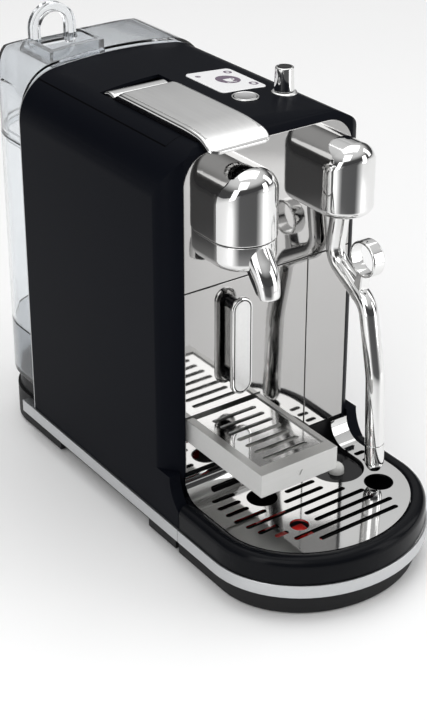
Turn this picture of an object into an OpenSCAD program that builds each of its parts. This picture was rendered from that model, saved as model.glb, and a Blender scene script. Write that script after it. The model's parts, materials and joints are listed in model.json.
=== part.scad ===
// Pod coffee machine with a steam wand, drawn as separate working pieces.
// Millimetres, +Z up, front towards -Y. Every module is written with y = 0 at the face of
// the front panel, and at() then moves it so that the origin is under the machine's middle.

/* [Body] */
// Width across the shell
body_w = 168; // [160:1:184]
// Height of the crown of the shell above the counter
body_top = 309; // [300:1:330]
// Depth of the shell behind the front panel
body_d = 191; // [186:1:215]
// Radius of the shell's two top edges
corner_r = 36; // [28:1:40]
// Radius of the shallow crown across the top
crown_r = 387; // [300:1:600]
// Thickness of the shell and the other moulded walls
wall = 2.5; // [2:0.1:3]
// Width of the rounded border on each side of the front panel
edge_w = 14; // [11:0.5:16]
// Depth of that rounded border
edge_d = 22; // [18:0.5:26]
// Drop of the brow above the front panel
brow_h = 8.4; // [6:0.2:10]
// Depth of the brow
brow_d = 25; // [20:0.5:30]

/* [Base and strip] */
// Height of the underside of the metal strip
strip_z = 19.2; // [17:0.2:22]
// Height of the metal strip
strip_h = 9.9; // [8:0.1:11]
// How far the dark base sits in from the shell
base_inset = 6; // [4:0.5:9]
// Height of the rubber feet
foot_h = 3; // [2.6:0.1:4]
// Radius of the rubber feet
foot_r = 9; // [6:0.5:11]

/* [Front] */
// Thickness of the front panels
panel_t = 2; // [1.5:0.1:2.5]
// Height of the lower edge of the front panels
skirt_z = 64.6; // [64:0.2:70]
// Seam between the capsule container and the fixed side panel
seam_x = 34; // [30:0.5:36]
// Gap at the seams of the front panels
seam = 0.8; // [0.5:0.1:1.2]

/* [Brewing side] */
// Sideways place of the coffee head, lever and spout
brew_x = -30; // [-34:0.5:-28]
// Radius of the coffee head
brew_r = 24; // [21:0.5:24.5]
// How far the coffee head stands out
brew_out = 33; // [31:0.5:38]
// Height of the coffee head without its collar
brew_h = 50; // [46:0.5:54]
// Height of the collar under the coffee head
collar_h = 19; // [17:0.5:21]
// Outer radius of the spout
spout_r = 6; // [5:0.1:7]
// Width of the lever
lever_w = 48; // [42:0.5:50]
// Distance of the lever's hinge behind the front panel
hinge_y = 115; // [110:1:120]
// Radius of the lever's hinge pin
hinge_pin_r = 3; // [2.5:0.1:3.5]
// Outer radius of the capsule cage
cage_r = 17; // [15:0.5:17.5]

/* [Steam side] */
// Sideways place of the steam head and wand
steam_x = 50.5; // [49:0.5:54]
// Radius of the steam head
steam_r = 20.5; // [18:0.5:21]
// How far the steam head stands out
steam_out = 37; // [34:0.5:40]
// Height of the steam head
steam_h = 52; // [48:0.5:56]
// Outer radius of the steam wand
wand_r = 6.8; // [6:0.1:7.2]
// Radius of the wand's pivot pin
wand_pin_r = 2.5; // [2:0.1:3]
// Outer radius of the finger ring on the wand
ring_r = 13.2; // [12:0.2:14]

/* [Cup support and container] */
// Left edge of the cup support
cup_x0 = -70; // [-70:0.5:-66]
// Width of the cup support
cup_w = 63; // [50:0.5:64]
// How far the cup support stands out when it is pulled forward
cup_out = 87; // [70:1:95]
// Height of the underside of the cup support
cup_z = 91; // [89:0.5:96]
// Height of the cup support
cup_h = 17; // [14:0.5:18]
// Depth of the capsule container behind the front panel
bin_d = 126; // [116:1:128]
// Width of the container's handle
grip_w = 17.5; // [14:0.5:20]
// Length of the container's handle
grip_h = 74; // [60:1:76]

/* [Drip tray] */
// How far the drip tray stands out in front of the panel
tray_out = 128; // [120:1:140]
// Depth of the elliptical front of the tray
tray_round = 72.5; // [60:0.5:80]
// Width of the tray's rim
rim_w = 11; // [8:0.5:13]
// Height of the top of the rim
rim_z = 48; // [46:0.5:50]
// Thickness of the drip grille
grille_t = 1.5; // [1:0.1:2]
// Distance between the rows of slots in the grille
slot_pitch = 9.6; // [8.5:0.1:10.5]
// Width of a slot in the grille
slot_w = 4; // [3:0.1:4.5]
// Radius of the pad around the temperature sensor
pad_r = 20; // [17:0.5:21]

/* [Controls] */
// Width of the screen glass
screen_w = 39; // [34:0.5:42]
// Depth of the screen glass
screen_d = 48; // [42:0.5:52]
// Radius of the start button's ring
button_r = 9.5; // [8.5:0.1:10.5]
// Radius of the knob's collar
knob_r = 8.6; // [8:0.1:10]
// Height of the knob above its collar
knob_h = 18; // [14:0.5:22]

/* [Water tank] */
// Width of the tank
tank_w = 160; // [150:1:164]
// Depth of the tank
tank_d = 71.5; // [64:0.5:80]
// Radius of the tank's two rear edges
tank_r = 48; // [40:1:52]
// Height of the tank's seat above the counter
seat_z = 45; // [42:0.5:48]
// Height of the grey foot of the tank
tank_foot = 45; // [30:1:60]
// Height of the lid
lid_h = 64; // [56:1:70]
// Width of the carry handle on the lid
handle_w = 38; // [34:0.5:42]

/* [Clearances] */
// Gap around parts that slide
slide_gap = 0.6; // [0.4:0.1:0.8]
// Gap between pieces that are fitted side by side
fit_gap = 0.3; // [0.2:0.1:0.5]
// Radial gap of a running pin
run_gap = 0.05; // [0.02:0.01:0.1]

/* [Hidden] */
$fn = 64;

// Overall places
half_w = body_w / 2;
tank_y0 = body_d + 2.5;
tank_y1 = tank_y0 + tank_d;
y_mid = (tank_y1 - tray_out) / 2;
shell_z = strip_z + strip_h + fit_gap;
panel_x = half_w - edge_w;
panel_top = body_top - brow_h;
// the rounded borders run a little past the flat sides, so that they cross them cleanly
over = 0.6;
edge_r = (pow(edge_w + over, 2) + edge_d * edge_d) / (2 * (edge_w + over));
brow_r = (pow(brow_h + over, 2) + brow_d * brow_d) / (2 * (brow_h + over));
corner_x = half_w - corner_r;
crown_z = body_top - crown_r;
corner_z = crown_z + sqrt(pow(crown_r - corner_r, 2) - pow(corner_x, 2));

// Heads, spout and the seam over the container
brew_top = body_top - 18;
brew_z = brew_top - brew_h;
collar_z = brew_z - collar_h - seam;
spout_y = -(brew_out + 6);
spout_tip_z = collar_z - 15.5;
seam_z = spout_tip_z - 2.4;
steam_top = body_top - 17;
steam_z = steam_top - steam_h;
pivot_y = -14;
pivot_z = steam_z + 7.5;

// The wand's centre line from its pivot down to its tip: [y, z, bend radius]
tip_from = [-59.5, rim_z + 29];
wand_path = [
    [pivot_y, pivot_z - 5, 0],
    [-8, steam_z - 37, 16],
    [-46, steam_z - 60, 18],
    [-57.07, (steam_z - 60 + tip_from[1]) / 2, 60],
    [tip_from[0], tip_from[1], 0]
];
tip_len = 22;
ring_y = -43;
ring_z = steam_z - 26;

// Lever and brewing unit
hinge_z = body_top - 13;
crank_y = hinge_y - 14;
crank_z = hinge_z - 4;
cage_y = 19;
cage_z = body_top - 47;
cage_len = 46;
link_end = [58, cage_z];
lever_open_y0 = 8;
lever_open_y1 = hinge_y + 10.8;
shelf_z = seam_z + 3;

// Container and cup support
bin_x0 = -panel_x;
bin_x1 = seam_x;
tunnel_z0 = cup_z - slide_gap;
tunnel_z1 = cup_z + cup_h + slide_gap;
cup_tail = 25;

// Tray
strip_w = half_w + 1.5;
tray_y1 = -1.2;
tray_side_y = tray_round - tray_out;
grille_z = rim_z - 2.5;
grille_x = strip_w - rim_w - 1.5;
pad_x = 38;
pad_y = -34;
float_x = -28;
float_y = -75;

// Controls
button_x = 17;
button_y = 52;
knob_x = 49;
knob_y = 50;
screen_x = 27.5;
screen_y = 90;

// Height of the shell's crown at a distance x from the middle
function crown(x) = crown_z + sqrt(crown_r * crown_r - x * x);

module at() {
    translate([0, -y_mid, 0]) children();
}

// A block between two corners
module block(a, b) {
    translate(a) cube([b[0] - a[0], b[1] - a[1], b[2] - a[2]]);
}

// Extrude a Y-Z outline from x0 to x1
module along_x(x0, x1) {
    translate([x0, 0, 0]) rotate([90, 0, 90]) linear_extrude(x1 - x0) children();
}

// Extrude an X-Z outline from y0 to y1
module along_y(y0, y1) {
    translate([0, y1, 0]) rotate([90, 0, 0]) linear_extrude(y1 - y0) children();
}

// A rectangle with round corners, about its middle
module round_rect(w, d, r) {
    square([w - 2 * r, d], center = true);
    square([w, d - 2 * r], center = true);
    for (sx = [-1, 1], sy = [-1, 1]) translate([sx * (w / 2 - r), sy * (d / 2 - r)]) circle(r = r);
}

// The centre line of a tube in the Y-Z plane: corners of [y, z, bend radius], with the bends
// turned into short steps. Each step is [y, z, direction].
function ray(p, i) = [p[i + 1][0] - p[i][0], p[i + 1][1] - p[i][1]];
function heading(p, i) = atan2(ray(p, i)[1], ray(p, i)[0]);
function swing(p, i) = (heading(p, i) - heading(p, i - 1) + 540) % 360 - 180;
function setback(p, i) = p[i][2] * abs(tan(swing(p, i) / 2));
function bend(p, i, n) = [for (k = [0 : n])
    let(a = heading(p, i - 1), s = swing(p, i), r = p[i][2] * sign(s), h = a + s * k / n, b = setback(p, i))
    [p[i][0] - b * cos(a) - r * sin(a) + r * sin(h), p[i][1] - b * sin(a) + r * cos(a) - r * cos(h), h]];
function centre_line(p, n) = concat(
    [[p[0][0], p[0][1], heading(p, 0)]],
    [for (i = [1 : len(p) - 2]) each bend(p, i, n)],
    [[p[len(p) - 1][0], p[len(p) - 1][1], heading(p, len(p) - 2)]]);
function hoop(c, r, k) = [for (j = [0 : k - 1])
    let(t = 360 * j / k) [r * cos(t), c[0] - r * sin(t) * sin(c[2]), c[1] + r * sin(t) * cos(c[2])]];

// A hollow tube along that centre line
module tube(p, r_out, r_in) {
    k = 24;
    line = centre_line(p, 8);
    m = len(line);
    pts = concat([for (c = line) each hoop(c, r_out, k)], [for (c = line) each hoop(c, r_in, k)]);
    outside = [for (i = [0 : m - 2], j = [0 : k - 1])
        [i * k + j, i * k + (j + 1) % k, (i + 1) * k + (j + 1) % k, (i + 1) * k + j]];
    inside = [for (f = outside) [f[3] + m * k, f[2] + m * k, f[1] + m * k, f[0] + m * k]];
    start = [for (j = [0 : k - 1]) [(j + 1) % k, j, m * k + j, m * k + (j + 1) % k]];
    end = [for (f = start) [for (q = [3 : -1 : 0]) f[q] + (m - 1) * k]];
    polyhedron(points = pts, faces = concat(outside, inside, start, end), convexity = 6);
}

// The shell's outline seen from the front, moved in by i
module arch(i) {
    tangent_x = corner_x * (crown_r - i) / (crown_r - corner_r);
    translate([-(half_w - i), shell_z]) square([2 * (half_w - i), corner_z - shell_z]);
    for (s = [-1, 1]) translate([s * corner_x, corner_z]) circle(r = corner_r - i);
    intersection() {
        translate([0, crown_z]) circle(r = crown_r - i, $fn = 256);
        translate([-tangent_x, corner_z]) square([2 * tangent_x, corner_r + 40]);
    }
}

// The shell's outline seen from above, moved in by i
module shell_plan(i) {
    cx = half_w + over - edge_r;
    front = i > 0 ? -5 : 0;
    intersection() {
        union() {
            translate([-(half_w + 3), edge_d]) square([2 * (half_w + 3), body_d]);
            translate([-cx, front]) square([2 * cx, edge_d + 10]);
            for (s = [-1, 1]) translate([s * cx, edge_d]) circle(r = edge_r - i);
        }
        translate([-half_w - 3, front]) square([body_w + 6, body_d - front + (i > 0 ? 5 : 0)]);
    }
}

// The shell's outline seen from the side, moved in by i
module shell_side(i) {
    cz = body_top + over - brow_r;
    front = i > 0 ? -5 : 0;
    intersection() {
        union() {
            translate([brow_d, 0]) square([body_d, body_top + 3]);
            translate([front, 0]) square([brow_d + 10, cz]);
            translate([brow_d, cz]) circle(r = brow_r - i);
        }
        translate([front, 0]) square([body_d + 20, body_top + 10]);
    }
}

module shell_form(i) {
    intersection() {
        along_y(i > 0 ? -4 : 0, body_d + (i > 0 ? 4 : 0)) arch(i);
        translate([0, 0, -5]) linear_extrude(body_top + 20) shell_plan(i);
        along_x(-half_w - 5, half_w + 5) shell_side(i);
    }
}

// The tray's outline seen from above, moved in by i and ending at y = back
function tray_edge(i) = [for (a = [0 : 5 : 180])
    [(strip_w - i) * cos(a), tray_side_y - (tray_round - i) * sin(a)]];
module tray_plan(i, back) {
    polygon(concat([[strip_w - i, back]], tray_edge(i), [[-(strip_w - i), back]]));
}

// The tank's outline seen from above, moved in by i
module tank_plan(i) {
    w = tank_w / 2;
    translate([-(w - i), tank_y0 + i]) square([2 * (w - i), tank_d - tank_r - i]);
    translate([-(w - tank_r), tank_y0 + i]) square([2 * (w - tank_r), tank_d - 2 * i]);
    for (s = [-1, 1]) intersection() {
        translate([s * (w - tank_r), tank_y1 - tank_r]) circle(r = tank_r - i);
        translate([-w, tank_y0 + i]) square([2 * w, tank_d]);
    }
}

// The base's outline seen from above, moved in by i
base_x = half_w - base_inset;
base_y1 = tank_y1 - 3;
base_r = tank_r - 4;
module base_plan(i) {
    translate([-(base_x - i), 2 + i]) square([2 * (base_x - i), base_y1 - base_r - 2 - i]);
    translate([-(base_x - base_r), 2 + i]) square([2 * (base_x - base_r), base_y1 - 2 - 2 * i]);
    for (s = [-1, 1]) translate([s * (base_x - base_r), base_y1 - base_r]) circle(r = base_r - i);
}

// A head that stands out of the front panel: round in front, domed on top
module head_form(x, r, out, z0, z1) {
    translate([x, 0, 0]) {
        intersection() {
            translate([0, r - out, 0]) rotate_extrude() {
                intersection() {
                    union() {
                        translate([0, z0]) square([r, z1 - r - z0]);
                        translate([0, z1 - r]) circle(r = r);
                    }
                    translate([0, z0]) square([r + 1, z1 - z0 + 1]);
                }
            }
            translate([-r - 1, -out - 1, z0 - 1]) cube([2 * r + 2, r + 1, z1 - z0 + 2]);
        }
        along_y(r - out, 0) {
            translate([-r, z0]) square([2 * r, z1 - r - z0]);
            intersection() {
                translate([0, z1 - r]) circle(r = r);
                translate([-r, z0]) square([2 * r, z1 - z0 + 1]);
            }
        }
    }
}

// ---- Base and body ----

module base_pan() color("dimgray") at() {
    difference() {
        union() {
            translate([0, 0, 9]) linear_extrude(strip_z + strip_h - 9) base_plan(0);
            intersection() {
                translate([0, 0, foot_h]) linear_extrude(10) base_plan(0);
                union() {
                    block([-half_w, 2, 0], [half_w, 37, 10]);
                    block([-half_w, body_d - 28, 0], [half_w, tank_y1, 10]);
                }
            }
        }
        translate([0, 0, 12]) linear_extrude(strip_h + strip_z) base_plan(3);
        translate([30, base_y1 + 1, 20]) rotate([90, 0, 0]) cylinder(r = 6, h = 8);
    }
    // tongue that the drip tray stands over
    block([-46, -86, foot_h], [46, 2.5, foot_h + 3.5]);
}

module feet() color("black") at() {
    for (s = [-1, 1], y = [22, body_d + 37])
        translate([s * (half_w - 28), y, 0]) cylinder(r = foot_r, h = foot_h);
    for (s = [-1, 1]) translate([s * 34, -70, 0]) cylinder(r = foot_r, h = foot_h);
}

module cord_gland() color("black") at() {
    translate([30, base_y1 + 2, 20]) rotate([90, 0, 0]) difference() {
        union() {
            cylinder(r = 5.8, h = 12);
            cylinder(r = 7.4, h = 1.9);
        }
        translate([0, 0, -1]) cylinder(r = 3.8, h = 14);
    }
}

module body_strip() color("silver") at() {
    for (s = [-1, 1]) mirror([s < 0 ? 1 : 0, 0, 0])
        block([base_x + fit_gap, -11, strip_z], [strip_w, body_d + 18, strip_z + strip_h]);
}

module chassis() color("darkslategray") at() {
    // floor, front skirt and bay walls
    difference() {
        union() {
            block([-half_w + 6, edge_d, shell_z + 1], [half_w - 6, body_d - 8, shell_z + 4]);
            block([-panel_x + 1, 4, shell_z + 1], [panel_x - 1, edge_d + 1, shell_z + 4]);
            block([-panel_x + 1, 0.4, shell_z + 1], [panel_x - 1, 4.2, skirt_z - 1]);
        }
        block([pad_x - pad_r + 1, -1, 30], [pad_x + pad_r - 1, 5, 45]);
    }
    difference() {
        block([seam_x + 1, 4, shell_z + 4], [seam_x + 4, bin_d + 6, shelf_z]);
        block([seam_x, 3, grille_z - 9], [seam_x + 5, 13, grille_z]);
    }
    block([-half_w + 6, bin_d + 6, shell_z + 4], [seam_x + 4, bin_d + 9, shelf_z]);
    // shelf over the container, open where capsules drop
    difference() {
        union() {
            block([-half_w + 6, edge_d, shelf_z], [half_w - 6, body_d - 8, shelf_z + 3]);
            block([-panel_x + 1, 4, shelf_z], [panel_x - 1, edge_d + 1, shelf_z + 3]);
        }
        block([brew_x - 19, 18, shelf_z - 1], [brew_x + 19, 62, shelf_z + 4]);
    }
    // rails under the capsule cage
    for (s = [-1, 1]) translate([brew_x + s * 12, 0, 0])
        block([-2, 66, shelf_z + 3], [2, 100, cage_z - sqrt(cage_r * cage_r - 100) - slide_gap]);
    // lugs that hold the lever's pin
    for (s = [-1, 1]) along_x(brew_x + s * (lever_w / 2 + 3.7) - 1.3, brew_x + s * (lever_w / 2 + 3.7) + 1.3)
        difference() {
            union() {
                translate([hinge_y - 6, shelf_z + 3]) square([12, hinge_z - shelf_z - 3]);
                translate([hinge_y, hinge_z]) circle(r = 4.6);
            }
            translate([hinge_y, hinge_z]) circle(r = hinge_pin_r);
        }
}

module body_shell() color("midnightblue") at() {
    difference() {
        union() {
            shell_form(0);
            // the side walls run forward at the bottom to meet the tray
            for (s = [-1, 1]) mirror([s < 0 ? 1 : 0, 0, 0]) difference() {
                block([half_w - 9, -11, shell_z], [half_w, edge_d, 66]);
                translate([0, -30, 66]) rotate([0, 90, 0]) cylinder(r = 30, h = half_w + 5, $fn = 96);
            }
        }
        shell_form(wall);
        // the mouth for the panels and the container
        along_y(-20, 9) mouth(0.3);
        // the lever's slot
        block([brew_x - lever_w / 2 - slide_gap, lever_open_y0, body_top - 30],
              [brew_x + lever_w / 2 + slide_gap, lever_open_y1, body_top + 5]);
        // screen, button and knob
        translate([screen_x, screen_y, body_top - 20]) linear_extrude(30)
            round_rect(screen_w + 2 * fit_gap, screen_d + 2 * fit_gap, 4);
        translate([button_x, button_y, body_top - 20]) cylinder(r = button_r + fit_gap, h = 30);
        translate([knob_x, knob_y, body_top - 20]) cylinder(r = knob_r + fit_gap, h = 30);
    }
}

module rear_trim() color("silver") at() {
    along_y(body_d, body_d + 1.2) difference() {
        arch(0);
        arch(1.6);
        translate([-half_w, shell_z - 10]) square([body_w, 10.01]);
    }
}

module back_panel() color("black") at() {
    along_y(body_d - 5, body_d - 2) intersection() {
        arch(wall + fit_gap);
        translate([-half_w, shell_z + 1]) square([body_w, body_top]);
    }
}

// The mouth of the shell, which the front panels fill, made larger by g
module mouth(g) {
    r = corner_r - edge_w;
    translate([-panel_x - g, 0]) square([2 * (panel_x + g), panel_top - r]);
    translate([-panel_x + r, 0]) square([2 * (panel_x - r), panel_top + g]);
    for (s = [-1, 1]) translate([s * (panel_x - r), panel_top - r]) circle(r = r + g);
}

module front_panel() color("lightgray") at() {
    along_y(0, panel_t) intersection() {
        mouth(0);
        translate([-panel_x, seam_z + seam / 2]) square([2 * panel_x, body_top]);
    }
}

module side_panel() color("lightgray") at() {
    along_y(0, panel_t) translate([seam_x + seam / 2, skirt_z])
        square([panel_x - seam_x - seam / 2, seam_z - seam / 2 - skirt_z]);
}

module tank_dock() color("black") at() {
    difference() {
        translate([0, 0, strip_z + strip_h + 0.2])
            linear_extrude(seat_z - strip_z - strip_h - 0.5) tank_plan(4);
        translate([0, tank_y0 + 30, 0]) cylinder(r = 9, h = 100);
    }
}

// ---- Brewing side ----

module coffee_head() color("gainsboro") at() {
    difference() {
        head_form(brew_x, brew_r, brew_out, brew_z, brew_top);
        head_form(brew_x, brew_r - 3, brew_out - 3, brew_z - 1, brew_top - 3);
    }
}

// The spout's centre line from inside the collar down to its tip
spout_path = [[-brew_out + 8.2, collar_z + 6, 0], [spout_y, collar_z + 6, 13], [spout_y, spout_tip_z, 0]];

module coffee_collar() color("gainsboro") at() {
    difference() {
        head_form(brew_x, brew_r - 0.6, brew_out - 0.6, collar_z, brew_z + 40);
        block([brew_x - 40, -60, brew_z - seam], [brew_x + 40, 1, brew_z + 60]);
        // the notch that the spout drops into
        translate([brew_x, -brew_out + 8, collar_z + 6]) rotate([90, 0, 0])
            cylinder(r = spout_r + 0.2, h = 20);
        block([brew_x - spout_r - 0.2, -brew_out - 12, collar_z - 1],
              [brew_x + spout_r + 0.2, -brew_out + 8, collar_z + 6]);
    }
}

module coffee_spout() color("gainsboro") at() {
    translate([brew_x, 0, 0]) tube(spout_path, spout_r, spout_r - 1.5);
}

module spout_liner() color("black") at() {
    translate([brew_x, spout_y, spout_tip_z + 0.8]) difference() {
        cylinder(r = spout_r - 1.6, h = 6);
        translate([0, 0, -1]) cylinder(r = 2.6, h = 8);
    }
}

module brew_plate() color("gray") at() {
    translate([brew_x, 18, cage_z]) rotate([90, 0, 0]) difference() {
        cylinder(r = 20, h = 8);
        translate([0, 0, -1]) cylinder(r = 3, h = 10);
    }
}

module lever_pin() color("gray") at() {
    translate([brew_x - lever_w / 2 - 5.5, hinge_y, hinge_z]) rotate([0, 90, 0])
        cylinder(r = hinge_pin_r, h = lever_w + 11);
}

module lever_frame() color("slategray") at() {
    difference() {
        union() {
            along_x(brew_x - lever_w / 2, brew_x + lever_w / 2) {
                polygon([
                    [-6, body_top - 7.4], [0, body_top - 7.4], [4, body_top - 4.8], [7, body_top - 3.1],
                    [8.7, body_top - 2.6], [8.7, body_top - 4.4], [hinge_y - 19, body_top - 4.4],
                    [hinge_y - 3, hinge_z - 7], [hinge_y + 3, hinge_z + 4], [hinge_y - 11, body_top - 0.3],
                    [brow_d, body_top - 0.3], [16, body_top - 0.6], [9, body_top - 1.2], [4, body_top - 2.3],
                    [0, body_top - 3.6], [-4.5, body_top - 5.8], [-6, body_top - 6.2]
                ]);
                translate([hinge_y, hinge_z]) circle(r = 9);
            }
            // tabs that carry the link's pin
            for (s = [-1, 1]) along_x(brew_x + s * 15.5 - 2, brew_x + s * 15.5 + 2) {
                translate([crank_y, crank_z]) circle(r = 5);
                translate([crank_y - 5, crank_z]) square([10, body_top - 4 - crank_z]);
            }
        }
        translate([brew_x - lever_w, hinge_y, hinge_z]) rotate([0, 90, 0])
            cylinder(r = hinge_pin_r + run_gap, h = 2 * lever_w);
        translate([brew_x - 20, crank_y, crank_z]) rotate([0, 90, 0]) cylinder(r = 2 + run_gap, h = 40);
        // the barrel is open between the tabs
        block([brew_x - 22.4, crank_y - 7, hinge_z - 20], [brew_x - 17.7, hinge_y + 12, body_top - 6]);
        block([brew_x + 17.7, crank_y - 7, hinge_z - 20], [brew_x + 22.4, hinge_y + 12, body_top - 6]);
    }
}

module lever_plate() color("silver") at() {
    along_x(brew_x - lever_w / 2 + 1, brew_x + lever_w / 2 - 1) polygon([
        [-4.5, body_top - 5.8], [0, body_top - 3.6], [4, body_top - 2.3], [9, body_top - 1.2],
        [16, body_top - 0.6], [brow_d, body_top - 0.3], [hinge_y - 12, body_top - 0.3],
        [hinge_y - 12, body_top + 2], [brow_d, body_top + 2.1], [16, body_top + 1.6], [9, body_top + 0.9],
        [4, body_top], [0, body_top - 1.2], [-3.5, body_top - 3], [-6, body_top - 5]
    ]);
}

module lever_link() color("gray") at() {
    dy = link_end[0] - crank_y;
    dz = link_end[1] - crank_z;
    for (s = [-1, 1]) along_x(brew_x + s * 20 - 1.5, brew_x + s * 20 + 1.5) {
        translate([crank_y, crank_z]) circle(r = 4.5);
        translate(link_end) circle(r = 4.5);
        translate([crank_y, crank_z]) rotate(atan2(dz, dy)) translate([0, -3.5]) square([norm([dy, dz]), 7]);
    }
    translate([brew_x - 21.5, crank_y, crank_z]) rotate([0, 90, 0]) cylinder(r = 2, h = 43);
}

module capsule_cage() color("gray") at() {
    translate([brew_x, cage_y + cage_len, cage_z]) rotate([90, 0, 0]) difference() {
        union() {
            cylinder(r = cage_r, h = cage_len);
            translate([0, 0, -12]) cylinder(r = 6, h = 13);
        }
        translate([0, 0, 13]) cylinder(r = cage_r - wall, h = cage_len);
        translate([0, 0, -20]) cylinder(r = 2, h = 40);
    }
    for (s = [-1, 1]) translate([brew_x + s * (cage_r + 0.4), link_end[0], cage_z]) rotate([0, 90, 0])
        cylinder(r = 2.5, h = 1.4, center = true);
}

// ---- Steam side ----

module steam_head() color("gainsboro") at() {
    difference() {
        head_form(steam_x, steam_r, steam_out, steam_z, steam_top);
        block([steam_x - 9.5, pivot_y - 16, steam_z - 1], [steam_x + 9.5, pivot_y + 9.5, pivot_z + 10]);
        translate([steam_x - 13, pivot_y, pivot_z]) rotate([0, 90, 0]) cylinder(r = wand_pin_r, h = 26);
    }
}

module wand_pin() color("gray") at() {
    translate([steam_x - 13, pivot_y, pivot_z]) rotate([0, 90, 0]) cylinder(r = wand_pin_r, h = 26);
}

module wand_ball() color("dimgray") at() {
    translate([steam_x, pivot_y, pivot_z]) difference() {
        translate([-8.5, 0, 0]) rotate([0, 90, 0]) cylinder(r = 8, h = 17);
        translate([-10, 0, 0]) rotate([0, 90, 0]) cylinder(r = wand_pin_r + run_gap, h = 20);
        translate([0, 0, -5]) rotate([180, 0, 0]) cylinder(r = 20, h = 10);
    }
}

module steam_wand() color("gainsboro") at() {
    translate([steam_x, 0, 0]) tube(wand_path, wand_r, wand_r - 1.6);
}

module steam_tip() color("gainsboro") at() {
    translate([steam_x, tip_from[0], tip_from[1]]) rotate([180 - 2.7, 0, 0]) difference() {
        union() {
            translate([0, 0, 0.4]) cylinder(r = wand_r, h = tip_len - 5);
            translate([0, 0, tip_len - 5]) cylinder(r1 = wand_r, r2 = wand_r - 2.4, h = 5);
        }
        translate([0, 0, -1]) cylinder(r = wand_r - 1.6, h = tip_len - 3);
        translate([0, 0, tip_len - 6]) cylinder(r = 1, h = 10);
    }
}

module wand_ring() color("black") at() {
    difference() {
        union() {
            along_x(steam_x - 5, steam_x + 5) difference() {
                union() {
                    translate([ring_y, ring_z]) circle(r = ring_r);
                    translate([ring_y, ring_z]) rotate(-78) translate([0, -3.5]) square([ring_r + 12.8, 7]);
                }
                translate([ring_y, ring_z]) circle(r = ring_r - 1.8);
            }
        }
        // where it is bonded to the wand
        translate([steam_x, wand_path[2][0], wand_path[2][1]]) rotate([heading(wand_path, 1) + 90, 0, 0])
            cylinder(r = wand_r + 0.05, h = 40);
    }
}

// ---- Controls ----

module screen_glass() color("black") at() {
    tilt = asin(screen_x / crown_r);
    translate([screen_x, screen_y, crown(screen_x) - 1.4]) rotate([0, tilt, 0])
        linear_extrude(1.5) round_rect(screen_w, screen_d, 4);
}

module display_module() color("darkgreen") at() {
    block([screen_x - screen_w / 2 + 2, screen_y - screen_d / 2 + 2, crown(screen_x) - 9],
          [screen_x + screen_w / 2 - 2, screen_y + screen_d / 2 - 2, crown(screen_x) - 3.4]);
}

module button_ring() color("silver") at() {
    translate([button_x, button_y, crown(button_x) - 8]) difference() {
        cylinder(r = button_r, h = 8.6);
        translate([0, 0, -1]) cylinder(r = button_r - 1.3, h = 11);
    }
}

module start_button() color("silver") at() {
    translate([button_x, button_y, crown(button_x) - 4]) cylinder(r = button_r - 1.3 - fit_gap, h = 4.9);
}

module button_switch() color("darkgreen") at() {
    translate([button_x - 6, button_y - 6, crown(button_x) - 11]) cube([12, 12, 3]);
    translate([button_x, button_y, crown(button_x) - 8]) cylinder(r = 3, h = 1.8);
}

module knob_collar() color("silver") at() {
    translate([knob_x, knob_y, crown(knob_x) - 8]) difference() {
        cylinder(r = knob_r, h = 9.6);
        translate([0, 0, -1]) cylinder(r = 3 + run_gap, h = 12);
    }
}

module knob() color("silver") at() {
    translate([knob_x, knob_y, crown(knob_x)]) {
        translate([0, 0, 2]) cylinder(r1 = knob_r - 1.5, r2 = knob_r - 2.3, h = knob_h - 1);
        translate([0, 0, knob_h + 1]) cylinder(r = knob_r - 3, h = 0.8);
        translate([0, 0, -9]) cylinder(r = 3, h = 12);
    }
}

module knob_encoder() color("darkgreen") at() {
    translate([knob_x - 7, knob_y - 7, crown(knob_x) - 15]) cube([14, 14, 5.5]);
}

// ---- Works behind the panels ----

module pump() color("gray") at() {
    translate([-60, bin_d + 34, shell_z + 30]) rotate([0, 90, 0]) {
        cylinder(r = 20, h = 46);
        translate([0, 0, 46]) cylinder(r = 12, h = 24);
    }
}

module thermoblock() color("darkgray") at() {
    translate([46, 118, shelf_z + 3]) cylinder(r = 24, h = 56);
}

module steam_pipe() color("gray") at() {
    translate([steam_x, 0, 0])
        tube([[3.5, shelf_z + 50, 0], [70, shelf_z + 50, 12], [70, shelf_z + 8, 0]], 3, 2);
}

module solenoid_valve() color("gray") at() {
    block([-2, 140, shelf_z + 3], [16, 168, shelf_z + 32]);
}

module flow_meter() color("darkgray") at() {
    translate([56, body_d - 36, shell_z + 4]) cylinder(r = 15, h = 22);
}

module control_board() color("darkgreen") at() {
    block([-70, body_d - 14, shelf_z + 6], [-10, body_d - 12, shelf_z + 66]);
}

// ---- Container and cup support ----

module container_body() color("darkslategray") at() {
    y1 = bin_d;
    difference() {
        block([bin_x0 + 1.5, panel_t, skirt_z + 1.4], [bin_x1 - 1.5, y1, seam_z - 3]);
        // channel for the cup support, open on the left
        block([bin_x0 - 5, 0, tunnel_z0], [cup_x0 + cup_w + slide_gap, y1 - 6, tunnel_z1]);
        // bin for used capsules, open on top
        block([bin_x0 + 4, panel_t + 3, tunnel_z1 + 2.5], [bin_x1 - 4, y1 - 2.5, seam_z + 5]);
        // hollow right-hand side, and the drip space under the channel
        block([cup_x0 + cup_w + slide_gap + 2.5, panel_t + 3, skirt_z + 4],
              [bin_x1 - 4, y1 - 2.5, seam_z + 5]);
        block([bin_x0 - 5, panel_t + 3, skirt_z + 4], [cup_x0 + cup_w, y1 - 6, tunnel_z0 - 2.5]);
    }
}

module container_front() color("lightgray") at() {
    difference() {
        along_y(0, panel_t) translate([bin_x0, skirt_z])
            square([bin_x1 - seam / 2 - bin_x0, seam_z - seam / 2 - skirt_z]);
        block([bin_x0 - 5, -1, tunnel_z0], [cup_x0 + cup_w + slide_gap, 5, tunnel_z1]);
    }
}

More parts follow.
